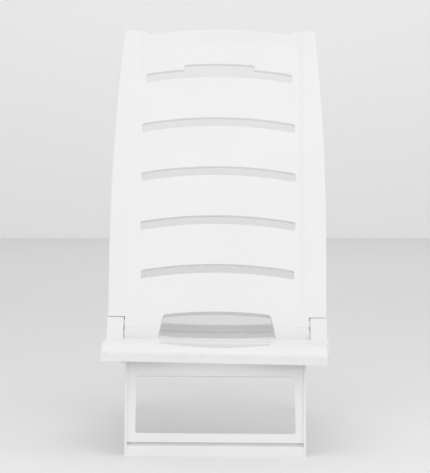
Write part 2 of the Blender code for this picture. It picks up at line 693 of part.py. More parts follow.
def make_rear_frame():
    tilt = rear_tilt()
    pivot_y, pivot_z = rear_pivot()
    length = (PIVOT_Z + pivot_z) / cos(radians(tilt))
    frame = rear_stile(1, tilt, length)
    join(frame, crossbar(-0.092, 0.018), crossbar(-0.334, 0.018), rear_stile(-1, tilt, length))
    cut(frame, gather(*[rod("bore", PIN_RADIUS + GAP, *span(side, 0.15, 0.18)) for side in (-1, 1)]))
    frame.name = "rear_leg_frame"
    return finish(frame, (0, LIP_Y + PIVOT_Y + pivot_y, PIVOT_Z + pivot_z), tilt, white)


# ---------------------------------------------------------------- hinge pins and caps
def hinge(name, y, z, tilt, head_x, tip_x, cap_face):
    """Headed pin and push-on cap on each side; the X values are distances from the middle."""
    for side, word in ((1, "right"), (-1, "left")):
        pin = turned(f"{name}_pin_{word}", [
            (0.0, head_x + HEAD_THICK), (HEAD_RADIUS - 0.0022, head_x + HEAD_THICK),
            (HEAD_RADIUS - 0.0006, head_x + HEAD_THICK - 0.0006),
            (HEAD_RADIUS, head_x + HEAD_THICK - 0.0022),
            (HEAD_RADIUS, head_x), (PIN_RADIUS, head_x), (PIN_RADIUS, tip_x + 0.0008),
            (PIN_RADIUS - 0.0008, tip_x), (0.0, tip_x)], side)
        finish(pin, (0, LIP_Y + y, z), tilt, pin_white)
        cap = turned(f"{name}_cap_{word}", [
            (0.0, tip_x - GAP), (PIN_RADIUS + GAP, tip_x - GAP), (PIN_RADIUS + GAP, cap_face),
            (CAP_RADIUS, cap_face), (CAP_RADIUS, cap_face - CAP_THICK + 0.0012),
            (CAP_RADIUS - 0.0012, cap_face - CAP_THICK), (0.0, cap_face - CAP_THICK)], side)
        finish(cap, (0, LIP_Y + y, z), tilt, pin_white)


clear_scene()
parts = make_collection(COLLECTION)
white = make_material("white_plastic", (0.86, 0.87, 0.87), 0.38)
pin_white = make_material("pin_plastic", (0.82, 0.83, 0.83), 0.32)
make_seat()
make_back()
make_front_frame()
make_rear_frame()
hinge("back_hinge", PIVOT_Y, PIVOT_Z, 0.0, SEAT_HALF_REAR - HEAD_THICK, 0.1470, 0.1497)
hinge("rear_leg_hinge", PIVOT_Y + rear_pivot()[0], PIVOT_Z + rear_pivot()[1], -RECLINE,
      0.1828, 0.1485, 0.1512)
hinge("front_leg_hinge", *FRONT_PIVOT, 0.0, 0.1703, 0.1330, 0.1367)
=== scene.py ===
"""Looks for the folding lounger: finely moulded shells, plastic materials and a pale studio.

Shapes are drawn in each moulding's own flat coordinates and then carried to their place, which
comes from the frame's joints and boxes. Metres, +Z up, -Y is the front.
"""
import json
import bmesh
import bpy
from math import acos, asin, ceil, cos, hypot, pi, radians, sin, sqrt, tan
from mathutils import Matrix, Vector


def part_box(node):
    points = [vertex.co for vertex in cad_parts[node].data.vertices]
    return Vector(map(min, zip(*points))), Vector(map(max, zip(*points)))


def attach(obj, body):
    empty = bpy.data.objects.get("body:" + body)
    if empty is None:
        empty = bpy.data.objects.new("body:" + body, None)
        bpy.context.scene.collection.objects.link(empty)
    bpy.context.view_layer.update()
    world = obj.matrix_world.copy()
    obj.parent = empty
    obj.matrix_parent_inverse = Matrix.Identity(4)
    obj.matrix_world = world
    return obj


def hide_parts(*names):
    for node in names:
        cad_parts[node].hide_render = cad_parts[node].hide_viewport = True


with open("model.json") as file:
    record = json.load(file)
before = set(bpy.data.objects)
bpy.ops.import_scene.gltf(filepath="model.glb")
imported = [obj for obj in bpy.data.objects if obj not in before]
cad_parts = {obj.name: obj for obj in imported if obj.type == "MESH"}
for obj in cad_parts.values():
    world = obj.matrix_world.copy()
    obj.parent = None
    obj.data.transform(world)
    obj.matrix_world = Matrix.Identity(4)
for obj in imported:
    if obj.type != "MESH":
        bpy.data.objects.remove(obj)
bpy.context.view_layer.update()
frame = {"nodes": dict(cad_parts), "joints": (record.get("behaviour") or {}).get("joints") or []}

# ---------------------------------------------------------------- places taken from the frame
HINGES = {joint["name"]: Vector(joint["pos_m"]) for joint in frame["joints"]}
BACK_HINGE = HINGES["back_hinge"]
REAR_HINGE = HINGES["rear_leg_hinge"]
FRONT_HINGE = HINGES["front_leg_hinge"]
LIP_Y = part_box("seat_panel")[0].y
SEAT_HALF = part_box("back_hinge_pin_right")[1].x

# ---------------------------------------------------------------- driving dimensions
# Meshes, walls and ribs
TINY = 1e-6
WALL = 0.0028
EDGE = 0.0009
FINE_EDGE = 0.0006
SKIRT_RINGS = 4
GRID_ACROSS = 0.0065
GRID_ALONG = 0.0068
RIB_HALF = 0.00125
RIB_EDGE = 0.0004

# Back, as it stands upright: up from its hinge line and out from its middle
RECLINE = radians(25.0)
BACK_TOP = 0.6165
BACK_HALF = 0.2092
BARREL_WIDEST = 0.2000
BARREL_ABOVE = 0.1175
BARREL_BELOW = 0.0375
BACK_FRONT = 0.0100
BACK_DEPTH = 0.0210
SLOT_DEPTH = 0.0100
BEND_RADIUS = 3.0
TROUGH = 0.0030
TROUGH_START = 0.0200
TROUGH_FADE = 0.0600
TROUGH_TOP_FADE = 0.0300
BACK_ROUNDING = 0.0034
BACK_CORNER = 0.0060
BORDER_START = 0.1562
BORDER_WIDTH = 0.0120
LOBE_HALF = 0.1752
LOBE_RADIUS = 0.0290
LOBE_INNER = 0.1130
LOBE_DRAW = 0.0110
LOBE_RELIEF = 0.0014
SHOULDER_RADIUS = 0.0215
HOLE_TOP = 0.0303
SLOT_HEIGHT = 0.0180
ARCH_CURVE = 0.6190
# Each slot's top at the middle, and half its length
SLOTS = ((0.1296, 0.1468), (0.2308, 0.1495), (0.3328, 0.1505), (0.4348, 0.1495), (0.5366, 0.1435))
SLOT_END = 0.1500
HANDLE_END = 0.0721
HANDLE_RISE = 0.0092
CHAMFER = 0.0025
TOP_FADE = 0.5500
# Out from the middle the top edge falls by the crown, then rises again to the tabs
CROWN = 0.0092
TOP_EDGE = ((0.1295, -CROWN), (0.1325, -0.0100), (0.1360, -0.0098), (0.1415, -0.0080),
            (0.1480, -0.0041), (0.1560, -0.0019), (0.1700, -0.0016), (0.2200, -0.0016))

# Seat, back from its lip
SEAT_DEPTH = 0.3240
SEAT_FRONT_HALF = 0.2000
CREST_Z = 0.1962
CREST_Y = 0.0360
LIP_TOP = 0.1850
LIP_HEIGHT = 0.0190
SEAT_REAR_Z = 0.1660
SKIRT = 0.0260
SEAT_SLOT_START = 0.0135
SEAT_SLOT_PITCH = 0.0620
SEAT_SLOT_WIDTH = 0.0200
SEAT_SLOT_HALF = 0.1030
SEAT_SLOT_BOW = 0.0150
SEAT_SLOT_DEPTH = 0.0120
SEAT_ROUNDING = 0.0055
SEAT_WIDENS_TO = 0.2500
SAG = 0.0130
LIP_SHIFT = -0.0030

# Hinge ears, bores and the lug that holds the rear frame
EAR_RADIUS = 0.0197
EAR_INNER = 0.1770
HEAD_RADIUS = 0.0089
HEAD_SUNK = 0.0033
BORE = 0.0043
BORE_STEPS = 28
BOSS_RADIUS = 0.0105
LUG_OUT = 0.1500
LUG_DOWN = 0.0200
LUG_RADIUS = 0.0042

# Front frame; the cuts part its web from the hinge eyes
FRONT_LEAN = radians(14.0)
FRONT_HALF = 0.1605
FRONT_FACE = 0.0100
FRONT_REAR = 0.0080
FRONT_GRID = 0.0090
FLANGE = 0.0045
FLANGE_RISE = 0.0005
RECESS = 0.0035
OPENING_TOP = 0.0350
OPENING_BOTTOM = 0.0395
OPENING_HALF_TOP = 0.1398
OPENING_HALF_BOTTOM = 0.1420
FOOT_STEP = 0.0236
SIDE_TOP_CUT = 0.0095
CUT_INNER = 0.1300
CUT_OUTER = 0.1450
EYE_INNER = 0.1455
EYE_RADIUS = 0.0085

# Rear frame, down from its hinge
REAR_INNER = 0.1590
REAR_OUTER = 0.1750
REAR_DEPTH = 0.0200
REAR_CROSSBARS = (-0.0920, -0.3340)
REAR_CROSSBAR_HEIGHT = 0.0180
LUG_INSET = 0.0030
STEP_ANGLE = 9.0
NOTCHES = 4


# ---------------------------------------------------------------- small helpers
def smooth(value):
    """Ease from 0 to 1 with no corner at either end."""
    value = min(max(value, 0.0), 1.0)
    return value * value * (3.0 - 2.0 * value)


def between(table, value):
    """Straight line interpolation in a table of pairs, held flat past its ends."""
    if value <= table[0][0]:
        return table[0][1]
    for (low, at_low), (high, at_high) in zip(table, table[1:]):
        if value <= high:
            return at_low + (at_high - at_low) * (value - low) / (high - low)
    return table[-1][1]


def fill(marks, step):
    """Marks with even stops between them, never wider apart than the step."""
    stops = []
    for low, high in zip(marks, marks[1:]):
        count = max(1, ceil((high - low) / step - TINY))
        stops += [low + (high - low) * i / count for i in range(count)]
    return stops + [marks[-1]]


def mirrored(marks):
    return [-mark for mark in reversed(marks) if mark > 0] + list(marks)


def span(side, inner, outer):
    return (inner, outer) if side > 0 else (-outer, -inner)


def turn(y, z, degrees):
    angle = radians(degrees)
    return y * cos(angle) - z * sin(angle), y * sin(angle) + z * cos(angle)


def circle(radius, y=0.0, z=0.0, steps=40):
    return [(y + radius * cos(2 * pi * i / steps), z + radius * sin(2 * pi * i / steps))
            for i in range(steps)]


def evaluated(obj):
    bpy.context.view_layer.update()
    graph = bpy.context.evaluated_depsgraph_get()
    return bpy.data.meshes.new_from_object(obj.evaluated_get(graph))


def take(mesh):
    """A mesh as a bmesh; the mesh itself is used up."""
    shape = bmesh.new()
    shape.from_mesh(mesh)
    bpy.data.meshes.remove(mesh)
    return shape


def move(shape, rule):
    for vert in shape.verts:
        vert.co = rule(vert.co)
    return shape


# ---------------------------------------------------------------- solids
def slab(outlines, low, high, edge=EDGE):
    """Side view outlines in (y, z), holes included, made into a plate with rounded edges."""
    curve = bpy.data.curves.new("slab", "CURVE")
    curve.dimensions = "2D"
    curve.fill_mode = "BOTH"
    curve.extrude = (high - low) / 2 - edge
    curve.bevel_depth = edge
    curve.bevel_resolution = 2
    curve.offset = -edge
    for outline in outlines:
        spline = curve.splines.new("POLY")
        spline.points.add(len(outline) - 1)
        for point, (y, z) in zip(spline.points, outline):
            point.co = (y, z, 0.0, 1.0)
        spline.use_cyclic_u = True
    guide = bpy.data.objects.new("slab", curve)
    bpy.context.scene.collection.objects.link(guide)
    shape = take(evaluated(guide))
    bpy.data.objects.remove(guide)
    bpy.data.curves.remove(curve)
    bmesh.ops.remove_doubles(shape, verts=shape.verts, dist=TINY)
    middle = (low + high) / 2
    return move(shape, lambda co: Vector((middle + co.z, co.x, co.y)))


def bar(low, high, edge=EDGE, stations=(), axis=1):
    """A box with rounded edges, sliced at stations along one axis so that it can bend."""
    shape = bmesh.new()
    size = Vector(high) - Vector(low)
    matrix = Matrix.Translation((Vector(high) + Vector(low)) / 2) @ Matrix.Diagonal((*size, 1.0))
    bmesh.ops.create_cube(shape, size=1.0, matrix=matrix)
    bmesh.ops.bevel(shape, geom=shape.edges[:], offset=edge, segments=2, profile=0.5, affect="EDGES")
    normal = Vector((0.0, 0.0, 0.0))
    normal[axis] = 1.0
    for station in stations:
        everything = shape.verts[:] + shape.edges[:] + shape.faces[:]
        bmesh.ops.bisect_plane(shape, geom=everything, dist=TINY,
                               plane_co=normal * station, plane_no=normal)
    return shape


def ring(radius, low, high):
    """A round boss along X with a bore for a hinge pin."""
    return slab([circle(radius), circle(BORE, steps=BORE_STEPS)], low, high, 0.0005)


# ---------------------------------------------------------------- moulded shells
def sheet(us, vs, holes, corners):
    """A grid of faces in (u, v), open at the holes and with its outer corners cut across.

    A hole is (u low, u high, v low, v high, corner width, rounded ends in v).
    """
    shape = bmesh.new()
    points = {}

    def point(key):
        if key not in points:
            points[key] = shape.verts.new((us[key[0]], vs[key[1]], 0.0))
        return points[key]

    def kept(u, v):
        for low_u, high_u, low_v, high_v, width, ends in holes:
            if low_u < u < high_u and low_v < v < high_v:
                side_u = (u < low_u + width) - (u > high_u - width)
                side_v = ("low" in ends and v < low_v + width) - ("high" in ends and v > high_v - width)
                return {(1, 1): (0, 1, 3), (1, -1): (0, 1, 2), (-1, -1): (1, 2, 3),
                        (-1, 1): (0, 2, 3)}.get((side_u, side_v), ())
        for corner_u, corner_v, width in corners:
            if abs(abs(u) - corner_u) < width and abs(v - corner_v) < width:
                return (0, 1, 3) if u > 0 else (0, 2, 3)
        return 0, 1, 2, 3

    for i in range(len(us) - 1):
        for j in range(len(vs) - 1):
            cell = ((i, j), (i, j + 1), (i + 1, j + 1), (i + 1, j))
            chosen = kept((us[i] + us[i + 1]) / 2, (vs[j] + vs[j + 1]) / 2)
            if chosen:
                shape.faces.new([point(cell[k]) for k in chosen])
    return shape


def add_skirts(shape, depth, rings):
    """Run the open edges of a sheet back to depth(u, v) in rings. Gives the sheet's border edges."""
    border = [edge for edge in shape.edges if edge.is_boundary]
    edges = border
    for step in range(1, rings + 1):
        made = bmesh.ops.extrude_edge_only(shape, edges=edges)["geom"]
        edges = [item for item in made if isinstance(item, bmesh.types.BMEdge) and item.is_boundary]
        for vert in (item for item in made if isinstance(item, bmesh.types.BMVert)):
            vert.co.z = depth(vert.co.x, vert.co.y) * step / rings
    return border


def moulded(shape, rounded, radius, edge=EDGE):
    """Round the chosen edges, then give the sheet its wall and soften what is left."""
    if rounded:
        bmesh.ops.bevel(shape, geom=rounded, offset=radius, segments=4, profile=0.5, affect="EDGES",
                        clamp_overlap=True)
    bmesh.ops.recalc_face_normals(shape, faces=shape.faces)
    flat = max(shape.faces, key=lambda face: abs(face.normal.z) * (face.calc_center_median().z < TINY))
    if flat.normal.z > 0:
        bmesh.ops.reverse_faces(shape, faces=shape.faces)
    mesh = bpy.data.meshes.new("shell")
    shape.to_mesh(mesh)
    shape.free()
    guide = bpy.data.objects.new("shell", mesh)
    bpy.context.scene.collection.objects.link(guide)
    solid = guide.modifiers.new("wall", "SOLIDIFY")
    solid.thickness = WALL
    solid.offset = -1.0
    solid.use_even_offset = True
    soft = guide.modifiers.new("edges", "BEVEL")
    soft.width = edge
    soft.segments = 2
    soft.limit_method = "ANGLE"
    soft.angle_limit = radians(38.0)
    soft.use_clamp_overlap = True
    result = take(evaluated(guide))
    bpy.data.objects.remove(guide)
    return result


def piece(name, shapes, body, node, material):
    """One object from several closed shapes, riding on a body in place of a CAD node."""
    mesh = bpy.data.meshes.new(name)
    whole = bmesh.new()
    for shape in shapes:
        bmesh.ops.recalc_face_normals(shape, faces=shape.faces)
        part = bpy.data.meshes.new("part")
        shape.to_mesh(part)
        shape.free()
        whole.from_mesh(part)
        bpy.data.meshes.remove(part)
    whole.to_mesh(mesh)
    whole.free()
    obj = bpy.data.objects.new(name, mesh)
    bpy.context.scene.collection.objects.link(obj)
    mesh.materials.append(material)
    mesh.shade_smooth()
    mesh.set_sharp_from_angle(angle=radians(62.0))
    normals = obj.modifiers.new("normals", "WEIGHTED_NORMAL")
    normals.keep_sharp = True
    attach(obj, body)
    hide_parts(node)


# ---------------------------------------------------------------- materials
def plastic(name, light, dark, roughness, grain):
    """Moulded plastic: fine grain, faint cloudiness, uneven gloss and edges rubbed duller."""
    material = bpy.data.materials.new(name)
    material.use_nodes = True
    nodes, links = material.node_tree.nodes, material.node_tree.links
    shader = nodes["Principled BSDF"]
    shader.inputs["Specular IOR Level"].default_value = 0.45
    place = nodes.new("ShaderNodeTexCoord")

    def noise(scale, detail, squeeze=None):
        texture = nodes.new("ShaderNodeTexNoise")
        texture.inputs["Scale"].default_value = scale
        texture.inputs["Detail"].default_value = detail
        source = place.outputs["Object"]
        if squeeze:
            mapping = nodes.new("ShaderNodeMapping")
            mapping.inputs["Scale"].default_value = squeeze
            links.new(source, mapping.inputs["Vector"])
            source = mapping.outputs["Vector"]
        links.new(source, texture.inputs["Vector"])
        return texture.outputs["Fac"]

    def ranged(source, low, high, out_low, out_high):
        scaled = nodes.new("ShaderNodeMapRange")
        ends = {"From Min": low, "From Max": high, "To Min": out_low, "To Max": out_high}
        for socket, value in ends.items():
            scaled.inputs[socket].default_value = value
        links.new(source, scaled.inputs["Value"])
        return scaled.outputs["Result"]

    def blended(factor, first, second):
        mixed = nodes.new("ShaderNodeMix")
        mixed.data_type = "RGBA"
        links.new(factor, mixed.inputs["Factor"])
        for socket, colour in ((mixed.inputs["A"], first), (mixed.inputs["B"], second)):
            if isinstance(colour, tuple):
                socket.default_value = (*colour, 1.0)
            else:
                links.new(colour, socket)
        return mixed.outputs["Result"]

    def combined(operation, first, second):
        maths = nodes.new("ShaderNodeMath")
        maths.operation = operation
        links.new(first, maths.inputs[0])
        links.new(second, maths.inputs[1])
        return maths.outputs["Value"]

    # Cloudy colour, then a slightly greyer tone where convex edges are rubbed.
    clouds = ranged(noise(7.0, 3.0), 0.35, 0.65, 0.0, 1.0)
    geometry = nodes.new("ShaderNodeNewGeometry")
    worn = ranged(geometry.outputs["Pointiness"], 0.505, 0.56, 0.0, 0.55)
    patchy = combined("MULTIPLY", worn, ranged(noise(60.0, 4.0), 0.40, 0.62, 0.0, 1.0))
    base = blended(clouds, dark, light)
    rubbed = tuple(channel * 0.93 for channel in light)
    links.new(blended(patchy, base, rubbed), shader.inputs["Base Color"])
    # Roughness: broad patches, level scuffs and a duller finish on the rubbed edges.
    scuffs = ranged(noise(30.0, 5.0, (1.0, 1.0, 7.0)), 0.55, 0.75, 0.0, 0.07)
    patches = ranged(noise(14.0, 4.0), 0.3, 0.7, roughness - 0.05, roughness + 0.06)
    gloss = combined("ADD", patches, scuffs)
    links.new(combined("ADD", gloss, ranged(patchy, 0.0, 1.0, 0.0, 0.12)), shader.inputs["Roughness"])
    # Grain of the mould's surface, in two sizes.
    relief = nodes.new("ShaderNodeBump")
    relief.inputs["Strength"].default_value = grain
    relief.inputs["Distance"].default_value = 0.0004
    links.new(combined("ADD", noise(1500.0, 2.0), noise(260.0, 2.0)), relief.inputs["Height"])
    links.new(relief.outputs["Normal"], shader.inputs["Normal"])
    return material


white = plastic("moulded_white", (0.874, 0.874, 0.873), (0.856, 0.856, 0.856), 0.36, 0.10)
pin_white = plastic("pin_white", (0.84, 0.84, 0.84), (0.82, 0.82, 0.822), 0.30, 0.05)
for node_name, node in frame["nodes"].items():
    node.data.materials.clear()
    node.data.materials.append(pin_white if "_hinge_" in node_name else white)


# ---------------------------------------------------------------- back
def back_half_width(s):
    rate = BARREL_ABOVE if s > BARREL_WIDEST else BARREL_BELOW
    return BACK_HALF - rate * (s - BARREL_WIDEST) ** 2


def slot_half_at(s):
    middles = [(0.0, SLOT_END)] + [(top - SLOT_HEIGHT / 2, half) for top, half in SLOTS]
    return between(middles, s)


def back_plan(co):
    """Carry a point of the back's flat grid to its plan shape: x, distance along, depth behind."""
    u, v, depth = co
    side = 1.0 if u >= 0 else -1.0
    u = abs(u)
    end, wide = slot_half_at(v), back_half_width(v)
    if u <= SLOT_END:
        x = u * end / SLOT_END
    else:
        x = end + (u - SLOT_END) / (BACK_HALF - SLOT_END) * (wide - end)
    draw = min(max((v + LOBE_RADIUS) / (HOLE_TOP + LOBE_RADIUS), 0.0), 1.0)
    draw *= 1.0 - smooth((v - HOLE_TOP) / 0.05)
    reach = u / LOBE_INNER if u < LOBE_INNER else 1.0 - smooth((u - LOBE_INNER) / (SLOT_END - LOBE_INNER))
    x -= LOBE_DRAW * draw * reach
    arch = ARCH_CURVE * x * x * (1.0 - smooth((x - end) / (LOBE_HALF - end)))
    arch *= min(max(v / HOLE_TOP, 0.0), 1.0)
    tab_start = TOP_EDGE[0][0]
    edge = -between(TOP_EDGE, x) if x > tab_start else CROWN * (x / tab_start) ** 2
    blend = smooth((v - TOP_FADE) / (BACK_TOP - TOP_FADE))
    s = v - arch * (1.0 - blend) - edge * blend
    n = depth - BACK_FRONT
    if v < -LOBE_RADIUS + TINY:
        s = -sqrt(LOBE_RADIUS ** 2 - n * n)
    elif abs(v - SHOULDER) < TINY and u > LOBE_MARK - TINY:
        s = sqrt(SHOULDER_RADIUS ** 2 - n * n)
    return Vector((side * x, s, n))


def back_bend(s):
    height = min(max(s, 0.0), BACK_TOP)
    return height * (BACK_TOP - height) / (2 * BEND_RADIUS)


def back_place(co):
    """Bend the back lengthwise, sink its slatted middle and lean it on its hinge."""
    x, s, n = co
    edge = smooth((abs(x) - BORDER_START) / BORDER_WIDTH)
    fade = min(max((s - TROUGH_START) / TROUGH_FADE, 0.0), 1.0)
    fade *= min(max((BACK_TOP - s) / TROUGH_TOP_FADE, 0.0), 1.0)
    n += back_bend(s) + TROUGH * (1.0 - edge) * fade
    return Vector((x, BACK_HINGE.y + n * cos(RECLINE) + s * sin(RECLINE),
                   BACK_HINGE.z + s * cos(RECLINE) - n * sin(RECLINE)))


SHOULDER = sqrt(SHOULDER_RADIUS ** 2 - BACK_FRONT ** 2)
BORDER_STRETCH = (BACK_HALF - SLOT_END) / (back_half_width(0.0) - SLOT_END)
LOBE_MARK = SLOT_END + (LOBE_HALF - SLOT_END) * BORDER_STRETCH


def back_shell():
    """The back's skin: slots, hand slot, the gap between the lobes and the rolled outline."""
    # Grid lines across stand at every edge, and closer where the top tabs curve.
    us = mirrored(fill([0.0, 0.0300, HANDLE_END - CHAMFER, HANDLE_END, 0.0930, LOBE_INNER, 0.1220,
                        0.1328, 0.1396, 0.1440, SLOT_END - CHAMFER, SLOT_END, 0.1533, 0.1580,
                        0.1650, LOBE_MARK, BACK_HALF - BACK_CORNER, BACK_HALF], GRID_ACROSS))
    us = sorted(set(us + [LOBE_INNER - CHAMFER, CHAMFER - LOBE_INNER]))
    marks = [-LOBE_RADIUS, -0.0230, 0.0, SHOULDER, HOLE_TOP - CHAMFER, HOLE_TOP]
    holes = [(-LOBE_INNER, LOBE_INNER, -1.0, HOLE_TOP, CHAMFER, ("high",))]
    for top, _ in SLOTS:
        low = top - SLOT_HEIGHT
        marks += [low, low + CHAMFER, top - CHAMFER, top]
        holes.append((-SLOT_END, SLOT_END, low, top, CHAMFER, ("low", "high")))
    handle_top = SLOTS[-1][0] + HANDLE_RISE
    marks += [handle_top - CHAMFER, handle_top]
    marks += [BACK_TOP - 0.0220, BACK_TOP - BACK_CORNER, BACK_TOP]
    holes.append((-HANDLE_END, HANDLE_END, SLOTS[-1][0], handle_top, CHAMFER, ("high",)))
    # Below its shoulders the back is only as wide as its lobes.
    holes += [(LOBE_MARK, 1.0, -1.0, SHOULDER, 0.0, ()), (-1.0, -LOBE_MARK, -1.0, SHOULDER, 0.0, ())]
    half_corner = BACK_CORNER / 2
    corner = (BACK_HALF - half_corner, BACK_TOP - half_corner, half_corner)
    shape = sheet(us, fill(marks, GRID_ALONG), holes, [corner])

    def depth(u, v):
        slots_start = SLOTS[0][0] - SLOT_HEIGHT
        in_slot = abs(u) < SLOT_END + TINY and slots_start - TINY < v < handle_top + TINY
        if in_slot:
            return SLOT_DEPTH
        return BACK_DEPTH - LOBE_RELIEF * (1.0 - smooth((v - 0.03) / 0.05))

    def on_outline(vert):
        clear = 0.001
        beside_slots = abs(vert.co.x) > SLOT_END + clear
        return vert.co.y > SHOULDER + clear and (beside_slots or vert.co.y > handle_top + clear)

    border = add_skirts(shape, depth, SKIRT_RINGS)
    rounded = [edge for edge in border if all(on_outline(vert) for vert in edge.verts)]
    move(shape, back_plan)
    return move(moulded(shape, rounded, BACK_ROUNDING), back_place)


def lean(co):
    """Tip a point of the upright back by its recline about the back hinge."""
    return Vector((co.x, BACK_HINGE.y + co.y * cos(RECLINE) + co.z * sin(RECLINE),
                   BACK_HINGE.z + co.z * cos(RECLINE) - co.y * sin(RECLINE)))


def back_bracket(low, high, sink):
    """Plate on the back's rear with a boss for the rear leg's pin."""
    up, out = 0.2700, 0.0300
    foot_half, neck, neck_half = 0.020, 0.001, 0.0098
    root = back_bend(up) - BACK_FRONT + sink + 0.0015
    plate = [(root, up + foot_half), (root, up - foot_half), (out + neck, up - neck_half)]
    for i in range(1, 14):
        angle = pi * i / 14
        plate.append((out + BOSS_RADIUS * sin(angle), up - BOSS_RADIUS * cos(angle)))
    plate.append((out + neck, up + neck_half))
    shape = slab([plate, circle(BORE, out, up, BORE_STEPS)], low, high, FINE_EDGE)
    return move(shape, lean)


def back_ribs():
    """Stiffening ribs behind the slats, following the bend."""
    ribs = []
    start, end, root = 0.0400, 0.6000, -0.0085
    heights = fill([start, end], 0.02)[1:-1]
    for x in (-0.1535, 0.1535):
        ribs.append(bar((x - RIB_HALF, start, root), (x + RIB_HALF, end, 0.0085), RIB_EDGE, heights))
    stations = [x / 1000 for x in range(-190, 200, 10)]
    tops = [top for top, _ in SLOTS]
    for low, high in zip([start] + tops, tops):
        s = (low + high - SLOT_HEIGHT) / 2
        half = back_half_width(s) - 0.0025
        rib = bar((-half, s - RIB_HALF, root), (half, s + RIB_HALF, 0.0015), RIB_EDGE, stations, 0)
        ribs.append(rib)
        for x in (-0.0560, 0.0560):
            ribs.append(bar((x - RIB_HALF, low + 0.0010, root),
                            (x + RIB_HALF, high - SLOT_HEIGHT - 0.0035, 0.0035), RIB_EDGE))
    return [move(rib, back_place) for rib in ribs]


def make_back():
    shapes = [back_shell()] + back_ribs()
    for side in (-1, 1):
        boss = ring(BOSS_RADIUS, *span(side, SLOT_END, LOBE_HALF - 0.0012))
        shapes.append(move(boss, lambda co: co + Vector((0.0, BACK_HINGE.y, BACK_HINGE.z))))
        shapes.append(back_bracket(*span(side, 0.1515, 0.1575), TROUGH))
        shapes.append(back_bracket(*span(side, 0.1765, 0.1825), 0.0))
    piece("back_moulding", shapes, "back", "back_panel", white)


# ---------------------------------------------------------------- seat
def seat_top(y):
    if y < CREST_Y:
        return CREST_Z - (CREST_Z - LIP_TOP) * ((CREST_Y - y) / CREST_Y) ** 2
    return CREST_Z - (CREST_Z - SEAT_REAR_Z) * ((y - CREST_Y) / (SEAT_DEPTH - CREST_Y)) ** 1.15


def twist(x, y):
    """The seat sags a little towards the right at its lip, and not at all at its rear."""
    return -SAG * x * (1.0 - smooth((y - 0.03) / 0.22))


def seat_half_at(y):
    return SEAT_FRONT_HALF + (SEAT_HALF - SEAT_FRONT_HALF) * smooth(y / SEAT_WIDENS_TO)


def seat_plan(co):
    """Carry a point of the seat's flat grid to its plan shape, bowing the slots backward."""
    u, v, depth = co
    fade = smooth(v / SEAT_SLOT_START) * (1.0 - smooth((v - 0.2830) / 0.0410))
    reach = 1.0 - smooth((abs(u) - SEAT_SLOT_HALF) / 0.07)
    bow = SEAT_SLOT_BOW * (u / SEAT_SLOT_HALF) ** 2 * reach * fade
    return Vector((u * seat_half_at(v) / SEAT_HALF, v + bow, depth))


def seat_place(co):
    shift = LIP_SHIFT * (1.0 - smooth(co.y / SEAT_WIDENS_TO))
    return Vector((co.x + shift, LIP_Y + co.y, seat_top(co.y) - co.z + twist(co.x, co.y)))


def seat_shell():
    """The seat's skin: five slots, the rolled lip and the sides; its rear edge stays square."""
    us = mirrored(fill([0.0, SEAT_SLOT_HALF - CHAMFER, SEAT_SLOT_HALF, 0.1110, 0.1400, 0.1780,
                        SEAT_HALF - 0.0110, SEAT_HALF], GRID_ACROSS))
    marks, holes = [0.0], []
    for index in range(5):
        near = SEAT_SLOT_START + index * SEAT_SLOT_PITCH
        far = near + SEAT_SLOT_WIDTH
        marks += [near, near + CHAMFER, far - CHAMFER, far]
        holes.append((-SEAT_SLOT_HALF, SEAT_SLOT_HALF, near, far, CHAMFER, ("low", "high")))
    shape = sheet(us, fill(marks + [SEAT_DEPTH - 0.0060, SEAT_DEPTH], GRID_ALONG), holes, [])

    def depth(u, v):
        in_slot = abs(u) < SEAT_SLOT_HALF + TINY and SEAT_SLOT_START - TINY < v < SEAT_DEPTH - 0.02
        if in_slot:
            return SEAT_SLOT_DEPTH
        return SKIRT + (LIP_HEIGHT - SKIRT) * (1.0 - smooth(v / 0.05))

    def at_side_or_lip(vert):
        return abs(vert.co.x) > SEAT_HALF - TINY or vert.co.y < TINY

    border = add_skirts(shape, depth, SKIRT_RINGS)
    rounded = [edge for edge in border if all(at_side_or_lip(vert) for vert in edge.verts)]
    move(shape, seat_plan)
    return move(moulded(shape, rounded, SEAT_ROUNDING), seat_place)


def at_lip(shape):
    return move(shape, lambda co: co + Vector((0.0, LIP_Y, 0.0)))


def seat_ear(side):
    """Round hinge knuckle with a sunk seat for the pin's head."""
    hinge_y, hinge_z = BACK_HINGE.y - LIP_Y, BACK_HINGE.z
    first, last = acos(-BACK_FRONT / EAR_RADIUS), radians(-40)
    steps, leant = 32, -25.0
    knuckle = [turn(-BACK_FRONT, -0.0125, leant)]
    for i in range(steps + 1):
        angle = first + (last - first) * i / steps
        knuckle.append(turn(EAR_RADIUS * cos(angle), EAR_RADIUS * sin(angle), leant))
    knuckle = [(hinge_y + y, hinge_z + z) for y, z in knuckle]
    start, floor_z = SEAT_DEPTH - 0.0172, seat_top(SEAT_DEPTH) - SKIRT
    outline = [(start, floor_z + 0.0045), (start, seat_top(start) - 0.0068)] + knuckle
    outline += [(hinge_y + 0.004, floor_z + 0.002)]
    seat_face = SEAT_HALF - HEAD_SUNK
    bore = circle(BORE, hinge_y, hinge_z, BORE_STEPS)
    inner = slab([outline, bore], *span(side, EAR_INNER, seat_face + 0.0005), FINE_EDGE)
    recess = circle(HEAD_RADIUS, hinge_y, hinge_z, 48)
    outer = slab([outline, recess], *span(side, seat_face - 0.0007, SEAT_HALF + 0.0003), 0.0007)
    return [at_lip(inner), at_lip(outer)]


